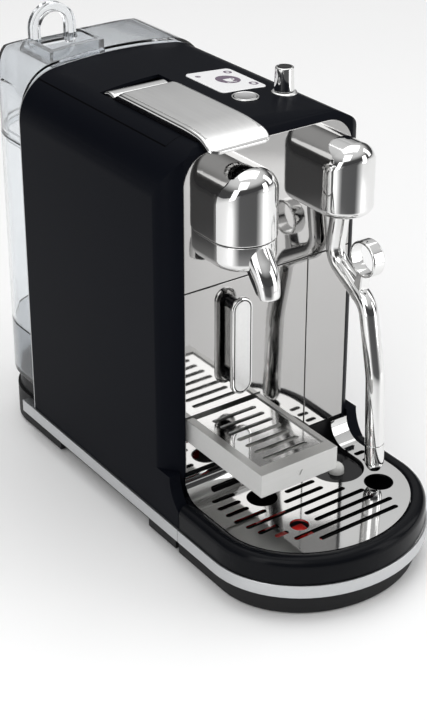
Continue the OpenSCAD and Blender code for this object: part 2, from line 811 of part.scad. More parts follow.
module container_handle() color("gainsboro") at() {
    z1 = seam_z - 9.5;
    difference() {
        along_y(-11, -0.01) translate([brew_x, z1 - grip_h / 2]) round_rect(grip_w, grip_h, grip_w / 2 - 0.1);
        block([brew_x - grip_w, -7, z1 - grip_h + 12], [brew_x + grip_w, 1, z1 - 12]);
    }
}

module cup_support_box() color("silver") at() {
    x1 = cup_x0 + cup_w;
    difference() {
        block([cup_x0, -cup_out, cup_z], [x1, cup_tail, cup_z + cup_h]);
        // drip space under the plate
        block([cup_x0 + 6, -cup_out + 10, cup_z + 2.5], [x1 - 4, cup_tail - 3, cup_z + cup_h + 1]);
        // small pull mark in the front
        translate([cup_x0 + cup_w / 2, -cup_out + 0.6, cup_z + cup_h / 2]) rotate([90, 0, 0])
            rotate([0, 0, -90]) cylinder(r = 2.6, h = 3, $fn = 3);
    }
}

module cup_support_top() color("lightgray") at() {
    x0 = cup_x0 + 6 + 0.2;
    x1 = cup_x0 + cup_w - 4 - 0.2;
    y0 = -cup_out + 10.2;
    z = cup_z + cup_h - 2.6;
    difference() {
        union() {
            block([x0, y0, z], [x1, -3, z + 1.4]);
            for (x = [x0 + 3, x1 - 6]) block([x, y0 + 3, cup_z + 2.5], [x + 3, -6, z + 0.5]);
        }
        for (k = [0 : floor((cup_out - 20) / slot_pitch)])
            slit(x0 + 8, x1 - 8, y0 + 5 + slot_w / 2 + k * slot_pitch, z - 1, z + 3);
    }
}

// ---- Drip tray ----

module tray_base() color("dimgray") at() {
    difference() {
        translate([0, 0, 1.5]) linear_extrude(strip_z - 1.5) tray_plan(base_inset + 1.5, tray_y1);
        translate([0, 0, -1]) linear_extrude(strip_z - 1.5) tray_plan(base_inset + 4, tray_y1 - 2.5);
        block([-48, -90, -1], [48, 1, foot_h + 5]);
        for (s = [-1, 1]) translate([s * 34, -70, -1]) cylinder(r = foot_r + 1.5, h = foot_h + 3);
    }
}

module tray_strip() color("silver") at() {
    translate([0, 0, strip_z + 0.1]) linear_extrude(strip_h - 0.2) difference() {
        tray_plan(0, -11.5);
        tray_plan(1.5, 0);
    }
}

module tray_rim() color("black") at() {
    difference() {
        union() {
            translate([0, 0, strip_z + 0.1]) linear_extrude(rim_z - strip_z - 6.1) tray_plan(1.6, -11.6);
            translate([0, 0, rim_z - 6]) linear_extrude(3) tray_plan(2.6, -11.6);
            translate([0, 0, rim_z - 3]) linear_extrude(2) tray_plan(4.2, -11.6);
            translate([0, 0, rim_z - 1]) linear_extrude(1) tray_plan(5.8, -11.6);
        }
        translate([0, 0, strip_z - 1]) linear_extrude(rim_z - strip_z - 4) tray_plan(rim_w - 6, 0);
        translate([0, 0, strip_z - 1]) linear_extrude(40) tray_plan(rim_w + 1.5, 0);
    }
    for (s = [-1, 1]) mirror([s < 0 ? 1 : 0, 0, 0])
        block([grille_x, -11.6, strip_z + 0.1], [half_w - 9 - slide_gap, tray_y1, rim_z - 0.1]);
}

module pad_shape(r) {
    translate([pad_x, pad_y]) circle(r = r);
    translate([pad_x - r, pad_y]) square([2 * r, -pad_y]);
}

module tray_pan() color("dimgray") at() {
    i = rim_w + 1.5 + fit_gap;
    difference() {
        union() {
            difference() {
                translate([0, 0, strip_z + 0.2])
                    linear_extrude(grille_z - strip_z - 0.3) tray_plan(i, tray_y1);
                translate([0, 0, strip_z + 2.2]) linear_extrude(40) tray_plan(i + 2, tray_y1 - 2);
            }
            intersection() {
                translate([0, 0, grille_z - 11]) linear_extrude(10.8) pad_shape(pad_r + 1.8);
                translate([0, 0, strip_z]) linear_extrude(40) tray_plan(i, tray_y1);
            }
            translate([float_x, float_y, strip_z + 1]) cylinder(r = 3, h = 16);
        }
        translate([0, 0, grille_z - 9]) linear_extrude(20) pad_shape(pad_r);
    }
}

// Rows of slots in the grille: [row, x from, x to]
slot_rows = [
    [1, -55, -22], [2, -61, -42], [3, -63, -44], [4, -63, -44], [4, -12, 14],
    [5, -63, -36], [5, -20, 14], [6, -60, 26], [7, -57, -40], [7, -17, 36],
    [8, -50, -39], [8, -16, 36], [9, -41, 45], [10, -27, 42]
];

// A slot with round ends
module slit(x0, x1, y, z0, z1) {
    r = slot_w / 2;
    translate([0, 0, z0]) linear_extrude(z1 - z0) {
        translate([x0 + r, y - r]) square([x1 - x0 - 2 * r, 2 * r]);
        for (x = [x0 + r, x1 - r]) translate([x, y]) circle(r = r, $fn = 24);
    }
}

module drip_grille() color("lightgray") at() {
    difference() {
        union() {
            intersection() {
                translate([0, 0, grille_z]) linear_extrude(grille_t) tray_plan(rim_w + 1.5 + fit_gap, -18.5);
                block([-100, -200, 0], [100, -18.5, 100]);
            }
            // the rear turns up against the front of the machine
            along_x(-grille_x + fit_gap, grille_x - fit_gap) intersection() {
                translate([-18.5, grille_z + 17.3]) difference() {
                    circle(r = 17.3);
                    circle(r = 17.3 - grille_t);
                }
                translate([-18.5, grille_z - 1]) square([20, 18.3]);
            }
        }
        for (s = slot_rows)
            slit(s[1], s[2], -s[0] * slot_pitch, grille_z - 5, rim_z + 8);
        for (k = [3 : 5]) slit(pad_x + pad_r + 1.5, grille_x - 4, -k * slot_pitch, grille_z - 5, rim_z);
        translate([brew_x + 1, pad_y, grille_z - 5]) cylinder(r = 11, h = 20);
        translate([steam_x, -66, grille_z - 5]) cylinder(r = 10.5, h = 20);
        translate([float_x, float_y, grille_z - 5]) cylinder(r = 6.8, h = 20);
        translate([0, 0, grille_z - 5]) linear_extrude(40) pad_shape(pad_r);
    }
}

module tray_float() color("red") at() {
    difference() {
        union() {
            block([float_x - 14, float_y - 15, strip_z + 6], [float_x + 12, float_y + 13, strip_z + 17]);
            translate([float_x, float_y, strip_z + 16]) cylinder(r = 6, h = grille_z - strip_z - 19.5);
        }
        translate([float_x, float_y, 0]) cylinder(r = 3.3, h = strip_z + 18);
    }
}

module sensor_arm() color("black") at() {
    difference() {
        union() {
            translate([0, 0, grille_z - 8]) linear_extrude(6.5) intersection() {
                pad_shape(pad_r - 0.8);
                translate([0, -100]) square([100, 100.3]);
            }
            block([pad_x - pad_r + 1.8, -1, grille_z - 8], [pad_x + pad_r - 1.8, 12, grille_z - 2]);
        }
        translate([pad_x, pad_y, 0]) cylinder(r = 6, h = 100);
        block([pad_x - pad_r, 4, shell_z + 0.5], [pad_x + pad_r, 13, grille_z - 6]);
    }
}

module temp_sensor() color("white") at() {
    translate([pad_x, pad_y, grille_z - 6]) {
        cylinder(r = 5.7, h = 6);
        translate([0, 0, 6]) intersection() {
            sphere(r = 5.7);
            cylinder(r = 8, h = 8);
        }
    }
}

// ---- Water tank ----

clear_z0 = seat_z + tank_foot;
clear_z1 = body_top + 3 - lid_h;

module water_tank() color("lightblue") at() {
    translate([0, 0, clear_z0]) linear_extrude(clear_z1 - clear_z0) difference() {
        tank_plan(0);
        tank_plan(wall);
    }
}

module tank_foot_cup() color("slategray") at() {
    difference() {
        translate([0, 0, seat_z]) linear_extrude(tank_foot) tank_plan(0);
        translate([0, 0, seat_z + 3]) linear_extrude(tank_foot) tank_plan(wall);
        translate([0, tank_y0 + 30, 0]) cylinder(r = 5 + run_gap, h = 100);
    }
}

module tank_valve() color("white") at() {
    translate([0, tank_y0 + 30, seat_z - 7]) {
        cylinder(r = 5, h = 12);
        translate([0, 0, 10.2]) cylinder(r = 8, h = 6);
    }
}

// The carry handle's place on the lid
handle_x = -20;
handle_y = tank_y1 - 14;

// The lid seen from the side, moved in by i
module lid_side(i) {
    r = 24;
    z1 = body_top + 3;
    translate([tank_y0 - 5, 0]) square([tank_d + 5.5 - r, z1 - i]);
    translate([tank_y0 - 5, 0]) square([tank_d + 10, z1 - r]);
    translate([tank_y1 + 0.5 - r, z1 - r]) circle(r = r - i);
}

// The lid's form: the tank's outline under an arch that follows the shell
module lid_form(i) {
    intersection() {
        translate([0, 0, clear_z1 + (i > 0 ? -1 : fit_gap)]) linear_extrude(lid_h + 5) tank_plan(i);
        along_y(tank_y0 - 1, tank_y1 + 1) translate([0, 6.5]) arch(half_w - tank_w / 2 + i - 0.5);
        along_x(-half_w, half_w) lid_side(i);
    }
}

module tank_lid() color("slategray") at() {
    z1 = body_top + 3;
    hy = handle_y;
    difference() {
        union() {
            difference() {
                lid_form(0);
                lid_form(wall);
            }
            // pocket that the carry handle folds into
            intersection() {
                lid_form(0);
                block([handle_x - handle_w / 2 - 4, hy - 38, z1 - 14.8],
                      [handle_x + handle_w / 2 + 4, hy + 9, z1 + 1]);
            }
            // lip that centres the lid in the tank
            translate([0, 0, clear_z1 - 4]) linear_extrude(9) difference() {
                tank_plan(wall + 0.4);
                tank_plan(wall + 2.4);
            }
            translate([0, 0, clear_z1 + 1]) linear_extrude(4) difference() {
                tank_plan(wall - 0.5);
                tank_plan(wall + 1);
            }
        }
        block([handle_x - handle_w / 2 - 0.8, hy - 34, z1 - 12.3],
              [handle_x + handle_w / 2 + 0.8, hy + 5.4, z1 + 5]);
        translate([handle_x - handle_w / 2 - 3, hy, z1 - 7]) rotate([0, 90, 0])
            cylinder(r = 2.5 + 3 * run_gap, h = handle_w + 6);
    }
}

module tank_handle() color("lightblue") at() {
    z1 = body_top + 3;
    r = handle_w / 2;
    translate([handle_x, handle_y, 0]) {
        along_y(-4.5, 4.5) difference() {
            union() {
                translate([0, z1 + 4]) circle(r = r);
                translate([-r, z1 - 7]) square([2 * r, 11]);
            }
            translate([0, z1 + 4]) circle(r = r - 7);
            translate([-r + 7, z1 - 20]) square([2 * r - 14, 24]);
            translate([-r, z1 - 27]) square([2 * r, 20]);
        }
        for (s = [-1, 1]) mirror([s < 0 ? 1 : 0, 0, 0]) translate([r - 7, 0, z1 - 7]) rotate([0, 90, 0]) {
            cylinder(r = 4.5, h = 7);
            cylinder(r = 2.5, h = 9.8);
        }
    }
}

base_pan();
feet();
cord_gland();
body_strip();
chassis();
body_shell();
rear_trim();
back_panel();
front_panel();
side_panel();
tank_dock();
coffee_head();
coffee_collar();
coffee_spout();
spout_liner();
brew_plate();
steam_head();
wand_pin();
lever_pin();
screen_glass();
display_module();
button_ring();
button_switch();
knob_collar();
knob_encoder();
sensor_arm();
pump();
thermoblock();
steam_pipe();
solenoid_valve();
flow_meter();
control_board();
container_body();
container_front();
container_handle();
cup_support_box();
cup_support_top();
tray_base();
tray_strip();
tray_rim();
tray_pan();
drip_grille();
tray_float();
temp_sensor();
lever_frame();
lever_plate();
lever_link();
capsule_cage();
start_button();
knob();
wand_ball();
steam_wand();
steam_tip();
wand_ring();
water_tank();
tank_foot_cup();
tank_valve();
tank_lid();
tank_handle();
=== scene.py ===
import json
import math

import bmesh
import bpy
from mathutils import Matrix, Vector


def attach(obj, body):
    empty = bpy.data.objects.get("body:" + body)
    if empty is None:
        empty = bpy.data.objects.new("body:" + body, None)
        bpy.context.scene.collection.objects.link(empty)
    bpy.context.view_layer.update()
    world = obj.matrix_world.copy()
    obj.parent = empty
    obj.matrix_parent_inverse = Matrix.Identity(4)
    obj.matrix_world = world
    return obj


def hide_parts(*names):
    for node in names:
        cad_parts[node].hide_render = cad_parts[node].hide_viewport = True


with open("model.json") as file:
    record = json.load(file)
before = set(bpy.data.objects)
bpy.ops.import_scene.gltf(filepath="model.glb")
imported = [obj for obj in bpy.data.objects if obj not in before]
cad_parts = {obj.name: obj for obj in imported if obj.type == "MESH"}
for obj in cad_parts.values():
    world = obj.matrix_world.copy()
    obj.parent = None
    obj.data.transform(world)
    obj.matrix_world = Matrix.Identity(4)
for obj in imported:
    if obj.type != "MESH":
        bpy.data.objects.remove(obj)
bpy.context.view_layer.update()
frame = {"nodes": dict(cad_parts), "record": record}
nodes = frame["nodes"]

# Pieces are modelled in millimetres with y = 0 at the front panel, as in the CAD source,
# and TO_FRAME takes them to the frame: metres, with the origin under the machine's middle.
PANEL_Y = -0.0685
MM = 0.001
TO_FRAME = Matrix.Translation((0, PANEL_Y, 0)) @ Matrix.Scale(MM, 4)


# ---------------------------------------------------------------- finishes

class Value:
    """A number that varies over a surface. Arithmetic on it adds Math nodes."""

    def __init__(self, finish, socket):
        self.finish = finish
        self.socket = socket

    def math(self, operation, *others):
        values = dict(enumerate((self,) + others))
        return self.finish.add("ShaderNodeMath", {"operation": operation}, values)

    def __add__(self, other):
        return self.math("ADD", other)

    def __radd__(self, other):
        return self + other

    def __sub__(self, other):
        return self.math("SUBTRACT", other)

    def __rsub__(self, other):
        return self.finish.add("ShaderNodeMath", {"operation": "SUBTRACT"}, {0: other, 1: self})

    def __mul__(self, other):
        return self.math("MULTIPLY", other)

    def __rmul__(self, other):
        return self * other

    def __truediv__(self, other):
        return self.math("DIVIDE", other)

    def __rtruediv__(self, other):
        return self.finish.add("ShaderNodeMath", {"operation": "DIVIDE"}, {0: other, 1: self})

    def __pow__(self, other):
        return self.math("POWER", other)

    def below(self, limit):
        return self.math("LESS_THAN", limit)

    def above(self, limit):
        return self.math("GREATER_THAN", limit)

    def size(self):
        return self.math("ABSOLUTE")

    def root(self):
        return self.math("SQRT")

    def at_most(self, other):
        return self.math("MINIMUM", other)

    def at_least(self, other):
        return self.math("MAXIMUM", other)


class Finish:
    """One material of the machine, built around a single Principled shader."""

    def __init__(self, name, colour, **constants):
        self.material = bpy.data.materials.new(name)
        self.material.use_nodes = True
        self.tree = self.material.node_tree
        self.shader = next(n for n in self.tree.nodes if n.type == "BSDF_PRINCIPLED")
        self.shader.inputs["Base Color"].default_value = (*colour, 1)
        for socket, value in constants.items():
            self.shader.inputs[socket.replace("_", " ")].default_value = value

    def add(self, kind, settings=None, inputs=None, out=0):
        node = self.tree.nodes.new(kind)
        for key, value in (settings or {}).items():
            setattr(node, key, value)
        for key, value in (inputs or {}).items():
            if isinstance(value, Value):
                self.tree.links.new(value.socket, node.inputs[key])
            else:
                node.inputs[key].default_value = value
        return Value(self, node.outputs[out])

    def feed(self, socket, value):
        self.tree.links.new(value.socket, self.shader.inputs[socket])

    def place(self, centre=(0, 0, 0), turn=(0, 0, 0), stretch=(1, 1, 1)):
        where = self.add("ShaderNodeTexCoord", out="Object")
        return self.add("ShaderNodeMapping", {"vector_type": "TEXTURE"},
                        {"Vector": where, "Location": centre, "Rotation": turn, "Scale": stretch})

    def axes(self, where):
        node = self.tree.nodes.new("ShaderNodeSeparateXYZ")
        self.tree.links.new(where.socket, node.inputs[0])
        return [Value(self, out) for out in node.outputs]

    def noise(self, scale, detail=3.0, where=None, roughness=0.5):
        return self.add("ShaderNodeTexNoise", {"noise_dimensions": "3D"},
                        {"Vector": where or self.place(), "Scale": scale, "Detail": detail,
                         "Roughness": roughness}, out=0)

    def blend(self, factor, first, second):
        inputs = {"Factor": factor}
        inputs[6] = (*first, 1) if isinstance(first, tuple) else first
        inputs[7] = (*second, 1) if isinstance(second, tuple) else second
        return self.add("ShaderNodeMix", {"data_type": "RGBA"}, inputs, out=2)

    def bump(self, height, strength, distance=0.001):
        inputs = {"Height": height, "Strength": strength, "Distance": distance}
        self.feed("Normal", self.add("ShaderNodeBump", None, inputs))


def painted_shell():
    f = Finish("satin_night_paint", (0.004, 0.005, 0.008), Roughness=0.36, IOR=1.12,
               Specular_IOR_Level=0.3)
    cloud = f.noise(9, 3)
    peel = f.noise(900, 2)
    # the fine joint between the side skin, the top and the front moulding
    x, y, z = f.axes(f.place())
    joint = (z - 0.300).size().below(0.0003) * (x + 0.060).below(0) * (y + 0.0445).above(0)
    cross = (y + 0.0445).size().below(0.0003) * (z - 0.300).above(0) * (x + 0.055).below(0)
    line = joint + cross
    skin = f.blend(cloud, (0.0032, 0.0038, 0.0062), (0.0048, 0.0058, 0.009))
    f.feed("Base Color", f.blend(line, skin, (0.001, 0.001, 0.0015)))
    f.feed("Roughness", 0.31 + cloud * 0.07 + peel * 0.05 + line * 0.4)
    f.bump(peel * 0.12 - line * 0.8, 0.25, 0.0006)
    return f.material


def moulded_plastic(name, colour, roughness, grain, depth):
    f = Finish(name, colour, IOR=1.3)
    speck = f.noise(grain, 4, roughness=0.62)
    cloud = f.noise(14, 2)
    dark = tuple(c * 0.82 for c in colour)
    light = tuple(min(1, c * 1.2 + 0.002) for c in colour)
    f.feed("Base Color", f.blend(cloud * 0.6 + speck * 0.4, dark, light))
    f.feed("Roughness", (roughness - 0.06) + speck * 0.12)
    f.bump(speck, depth, 0.0003)
    return f.material


def glossy_plastic(name, colour, roughness=0.09, gloss=1.45):
    f = Finish(name, colour, IOR=gloss)
    smear = f.noise(38, 4, roughness=0.6)
    dark = tuple(c * 0.9 for c in colour)
    light = tuple(min(1, c * 1.12 + 0.001) for c in colour)
    f.feed("Base Color", f.blend(smear, dark, light))
    f.feed("Roughness", roughness + (smear - 0.45).at_least(0) * 0.16)
    return f.material


def polished_metal(name, colour, roughness=0.045):
    f = Finish(name, colour, Metallic=1.0)
    smear = f.noise(30, 4, roughness=0.62)
    swirl = f.noise(420, 2)
    dark = tuple(c * 0.95 for c in colour)
    f.feed("Base Color", f.blend(smear, dark, colour))
    f.feed("Roughness", roughness + (smear - 0.5).at_least(0) * 0.10 + swirl * 0.012)
    f.bump(swirl, 0.012, 0.0003)
    return f.material


def brushed_metal(name, colour, roughness, stretch, depth=0.10, turn=(0, 0, 0)):
    f = Finish(name, colour, Metallic=1.0)
    grain = f.noise(520, 3, f.place(turn=turn, stretch=stretch))
    cloud = f.noise(16, 3)
    dark = tuple(c * 0.86 for c in colour)
    f.feed("Base Color", f.blend(grain * 0.7 + cloud * 0.3, dark, colour))
    f.feed("Roughness", (roughness - 0.08) + grain * 0.12 + cloud * 0.06)
    f.bump(grain, depth, 0.0002)
    return f.material


def clear_plastic(name, colour, roughness, haze):
    f = Finish(name, colour, IOR=1.46, Transmission_Weight=1.0, Specular_IOR_Level=0.5)
    smear = f.noise(24, 3, roughness=0.6)
    f.feed("Base Color", f.blend(smear, colour, tuple(c * (1 - haze) for c in colour)))
    f.feed("Roughness", roughness + (smear - 0.45).at_least(0) * 0.12)
    return f.material


def turned_metal(name, colour, centre):
    """Metal with the fine rings that turning leaves, about an upright axis."""
    f = Finish(name, colour, Metallic=1.0)
    x, y, _ = f.axes(f.place(centre=centre))
    rings = f.noise(2600, 2, f.add("ShaderNodeCombineXYZ", None, {0: (x * x + y * y).root()}))
    dark = tuple(c * 0.85 for c in colour)
    f.feed("Base Color", f.blend(rings, dark, colour))
    f.feed("Roughness", 0.22 + rings * 0.16)
    f.bump(rings, 0.12, 0.0002)
    return f.material


def lit_screen(centre, tilt):
    """A white start page with plain round signs: a cup in the middle, dots at the sides."""
    f = Finish("lit_screen", (0.9, 0.9, 0.9), Roughness=0.12, Coat_Weight=1.0, Coat_Roughness=0.03)
    x, y, _ = f.axes(f.place(centre=centre, turn=(0, tilt, 0)))
    x = x * 1000
    y = y * 1000

    def bar(cx, cy, w, h):
        return (x - cx).size().below(w / 2) * (y - cy).size().below(h / 2)

    def circle(cx, cy, r):
        dx, dy = x - cx, y - cy
        return (dx * dx + dy * dy).root().below(r)

    main = circle(2.5, 0.5, 9.2)
    cup = bar(2.0, 0.2, 6.2, 3.6) + circle(2.0, -1.4, 3.1) * (y + 1.4).below(0)
    handle = circle(5.6, 0.2, 2.0) * (1 - circle(5.6, 0.2, 1.1)) * (x - 5.0).above(0)
    saucer = bar(2.0, -5.6, 8.4, 0.8)
    side = circle(13.0, 15.5, 3.3) + circle(-13.6, 14.6, 2.2) * 0.9 + circle(14.0, -14.6, 3.6)
    dots = circle(13.0, 15.5, 1.4) + circle(14.0, -14.6, 1.7)
    ink = (main - (cup + handle + saucer).at_most(1) * main + side - dots).at_least(0).at_most(1)
    colour = f.blend(ink, (0.86, 0.86, 0.87), (0.085, 0.042, 0.095))
    f.feed("Base Color", colour)
    f.feed("Emission Color", colour)
    f.shader.inputs["Emission Strength"].default_value = 0.28
    return f.material


paint = painted_shell()
dark_plastic = moulded_plastic("dark_base_plastic", (0.012, 0.012, 0.013), 0.55, 1500, 0.25)
black_plastic = moulded_plastic("black_frame_plastic", (0.007, 0.007, 0.008), 0.5, 1100, 0.18)
rubber = moulded_plastic("foot_rubber", (0.015, 0.015, 0.015), 0.8, 700, 0.3)
board = moulded_plastic("circuit_board", (0.012, 0.10, 0.035), 0.5, 300, 0.2)
gloss_black = glossy_plastic("gloss_black_plastic", (0.005, 0.005, 0.006), 0.10, 1.3)
rim_black = glossy_plastic("tray_rim_black", (0.004, 0.0045, 0.006), 0.2, 1.18)
red_plastic = glossy_plastic("float_red_plastic", (0.62, 0.02, 0.015), 0.2)
white_plastic = glossy_plastic("sensor_white_plastic", (0.78, 0.78, 0.76), 0.2)
chrome = polished_metal("polished_chrome", (0.80, 0.80, 0.795), 0.06)
mirror = polished_metal("mirror_steel", (0.45, 0.445, 0.44), 0.04)
grille_metal = polished_metal("polished_grille_steel", (0.66, 0.66, 0.655), 0.05)
strip_metal = brushed_metal("satin_strip_metal", (0.62, 0.63, 0.64), 0.34, (1, 60, 1))
lever_metal = brushed_metal("satin_lever_metal", (0.86, 0.86, 0.855), 0.34, (1, 40, 1), 0.04)
support_metal = brushed_metal("brushed_support_metal", (0.62, 0.62, 0.61), 0.3, (60, 1, 1), 0.10)
plain_steel = brushed_metal("plain_steel", (0.5, 0.5, 0.5), 0.35, (1, 1, 30))
cast_metal = moulded_plastic("cast_alloy", (0.32, 0.32, 0.33), 0.45, 500, 0.3)
brass = brushed_metal("plain_brass", (0.72, 0.5, 0.22), 0.35, (1, 1, 20))
button_metal = turned_metal("turned_button_metal", (0.78, 0.78, 0.78),
                            (0.017, PANEL_Y + 0.052, 0.309))
clear = clear_plastic("clear_tank_plastic", (0.93, 0.95, 0.965), 0.03, 0.03)
clear_lid = clear_plastic("clear_lid_plastic", (0.88, 0.90, 0.92), 0.07, 0.06)
clear_foot = clear_plastic("smoked_tank_foot", (0.60, 0.63, 0.66), 0.12, 0.12)


# ---------------------------------------------------------------- mesh helpers

SLOT_OF = {part["node"]: part["material_slot"] for part in frame["record"]["subparts"]}
BODY_OF = {n: b for b, group in frame["record"]["behaviour"]["bodies"].items() for n in group}


def make(name, bm, body, material, replaces=(), sharp=34, placed=False):
    """Turns a bmesh into a finished piece of the machine."""
    if not placed:
        bmesh.ops.remove_doubles(bm, verts=bm.verts, dist=1e-4)
        bmesh.ops.recalc_face_normals(bm, faces=bm.faces)
        bmesh.ops.transform(bm, matrix=TO_FRAME, verts=bm.verts)
    mesh = bpy.data.meshes.new(name)
    bm.to_mesh(mesh)
    bm.free()
    for face in mesh.polygons:
        face.use_smooth = True
    mesh.set_sharp_from_angle(angle=math.radians(sharp))
    mesh.materials.append(material)
    piece = bpy.data.objects.new(name, mesh)
    bpy.context.scene.collection.objects.link(piece)
    even = piece.modifiers.new("even_shading", "WEIGHTED_NORMAL")
    even.keep_sharp = True
    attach(piece, body)
    if replaces:
        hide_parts(*replaces)
    return piece


def break_edges(bm, offset, segments=2, angle=35, only=None):
    """Rounds every edge that turns by more than the angle."""
    edges = [e for e in bm.edges if len(e.link_faces) == 2
             and e.calc_face_angle(0) > math.radians(angle) and (only is None or only(e))]
    bmesh.ops.bevel(bm, geom=edges, offset=offset, offset_type="OFFSET", segments=segments,
                    profile=0.5, affect="EDGES", material=-1, clamp_overlap=True)


def soften(node, offset, material, segments=2, angle=35, only=None):
    """A finished copy of a CAD piece: merged, with its hard edges broken."""
    bm = bmesh.new()
    bm.from_mesh(nodes[node].data)
    bmesh.ops.remove_doubles(bm, verts=bm.verts, dist=2e-6)
    bmesh.ops.dissolve_limit(bm, angle_limit=math.radians(0.5), verts=bm.verts, edges=bm.edges)
    if offset:
        break_edges(bm, offset * MM, segments, angle, only)
    return make(node + "_finished", bm, BODY_OF[node], material, (node,),
                placed=True)


def arc(cx, cy, r, start, end, steps=6):
    """Points along an arc, with its angles in degrees."""
    angles = [math.radians(start + (end - start) * k / steps) for k in range(steps + 1)]
    return [(cx + r * math.cos(a), cy + r * math.sin(a)) for a in angles]


def plate(points, plane, start, end, edge=0.0, segments=3, angle=35):
    """A flat outline given a thickness, which runs from start to end on the third axis."""
    place = {"xy": lambda a, b, c: (a, b, c), "xz": lambda a, b, c: (a, c, b),
             "yz": lambda a, b, c: (c, a, b)}[plane]
    bm = bmesh.new()
    face = bm.faces.new([bm.verts.new(place(a, b, start)) for a, b in points])
    grown = bmesh.ops.extrude_face_region(bm, geom=[face])["geom"]
    bmesh.ops.translate(bm, vec=place(0, 0, end - start),
                        verts=[g for g in grown if isinstance(g, bmesh.types.BMVert)])
    bmesh.ops.recalc_face_normals(bm, faces=bm.faces)
    if edge:
        break_edges(bm, edge, segments, angle)
    return bm


def stadium(cx, cy, half_w, half_h):
    """An upright outline with fully round ends."""
    return (arc(cx, cy + half_h - half_w, half_w, 0, 180, 20)
            + arc(cx, cy - half_h + half_w, half_w, 180, 360, 20))


def loft(rings, closed=True, joined=False, caps=True):
    """A skin over a row of outlines. Joined carries it on from the last to the first."""
    bm = bmesh.new()
    loops = []
    for ring in rings:
        verts = [bm.verts.new(p) for p in ring]
        loops.append([bm.edges.new(p) for p in zip(verts, verts[1:] + verts[:closed])])
    for near, far in zip(loops, loops[1:] + loops[:joined]):
        bmesh.ops.bridge_loops(bm, edges=near + far)
    if caps:
        bmesh.ops.holes_fill(bm, edges=[e for e in bm.edges if len(e.link_faces) == 1], sides=0)
    return bm


def turn(profile, centre, steps=72):
    """Turns an outline of (radius, height) points about an upright axis."""
    bm = bmesh.new()
    x, y, z = centre
    verts = [bm.verts.new((x + r, y, z + h)) for r, h in profile]
    edges = [bm.edges.new(pair) for pair in zip(verts, verts[1:])]
    bmesh.ops.spin(bm, geom=verts + edges, cent=centre, axis=(0, 0, 1), angle=math.tau,
                   steps=steps, use_merge=True, use_duplicate=False)
    return bm


def bullet(x, r, out, profile):
    """A head that is round in front and straight behind, from an outline of (radius, height)."""
    bm = bmesh.new()
    y = r - out
    verts = [bm.verts.new((x + q, y, z)) for q, z in profile]
    edges = [bm.edges.new(pair) for pair in zip(verts, verts[1:])]
    bmesh.ops.spin(bm, geom=verts + edges, cent=(x, y, 0), axis=(0, 0, 1), angle=-math.pi,
                   steps=36, use_duplicate=False)
    bmesh.ops.remove_doubles(bm, verts=bm.verts, dist=1e-4)
    rim = [e for e in bm.edges if len(e.link_faces) == 1]
    grown = bmesh.ops.extrude_edge_only(bm, edges=rim)["geom"]
    bmesh.ops.translate(bm, vec=(0, -0.02 - y, 0),
                        verts=[g for g in grown if isinstance(g, bmesh.types.BMVert)])
    bmesh.ops.holes_fill(bm, edges=[e for e in bm.edges if len(e.link_faces) == 1], sides=0)
    return bm


def arched_head(x, r, out, top, corner, foot):
    """A head that is arched seen from the front and round seen from above. The foot is an
    outline of (radius, height) up to the wall, and the corner rounds the edge over the wall."""
    middle = r - out
    spring = top - r
    angles = [-math.pi * k / 48 for k in range(49)]

    def over(a, q, turned):
        cut = corner * abs(math.sin(a))
        reach = r - cut * (1 - math.sin(turned)) if turned else (r - cut) * q
        height = spring + math.sqrt(max(0.0, r * r - (reach * math.cos(a)) ** 2))
        return reach, height - (cut * (1 - math.cos(turned)) if turned else 0)

    levels = [lambda a, q=q, z=z: (q, z) for q, z in foot]
    levels += [lambda a, t=t: over(a, 0, math.radians(t)) for t in range(90, 0, -10)]
    levels += [lambda a, q=q: over(a, q, 0) for q in
               [math.cos(math.radians(t)) for t in range(0, 90, 6)] + [0.003]]
    rings = []
    for level in levels:
        spots = [level(a) for a in angles]
        ring = [(x + q * math.cos(a), middle + q * math.sin(a), z)
                for a, (q, z) in zip(angles, spots)]
        rings.append([(ring[0][0], -0.02, ring[0][2])] + ring + [(ring[-1][0], -0.02, ring[-1][2])])
    return loft(rings, closed=False)


def round_bar(x, path, radii, sides=40):
    """A round bar along (y, z) points in an upright plane."""
    bm = bmesh.new()
    before = []
    for i, (y, z) in enumerate(path):
        back, ahead = path[max(i - 1, 0)], path[min(i + 1, len(path) - 1)]
        dy, dz = (Vector(ahead) - Vector(back)).normalized()
        square = Matrix(((1, 0, 0, x), (0, dz, dy, y), (0, -dy, dz, z), (0, 0, 0, 1)))
        ring = bmesh.ops.create_circle(bm, segments=sides, radius=radii[i], matrix=square)["verts"]
        edges = list({e for v in ring for e in v.link_edges if e.other_vert(v) in ring})
        if before:
            bmesh.ops.bridge_loops(bm, edges=before + edges)
        before = edges
    bmesh.ops.holes_fill(bm, edges=[e for e in bm.edges if len(e.link_faces) == 1], sides=0)
    return bm


def bend_points(corners, steps=10):
    """A centre line with rounded corners: (y, z, radius) to (y, z) points."""
    points = [corners[0][:2]]
    for (ay, az, _), (by, bz, r), (cy, cz, _) in zip(corners, corners[1:], corners[2:]):
        a, b, c = Vector((ay, az)), Vector((by, bz)), Vector((cy, cz))
        into, out = (a - b).normalized(), (c - b).normalized()
        half = into.angle(out) / 2
        middle = b + (into + out).normalized() * (r / math.sin(half))
        start, end = b + into * (r / math.tan(half)), b + out * (r / math.tan(half))
        for k in range(steps + 1):
            ray = (start - middle).lerp(end - middle, k / steps).normalized() * r
            points.append(tuple(middle + ray))
    return points + [corners[-1][:2]]


def crown(x):
    """Height of the shell's top at a distance x from the middle."""
    return 309 - 387 + math.sqrt(387 ** 2 - x * x)


# ---------------------------------------------------------------- body and panels

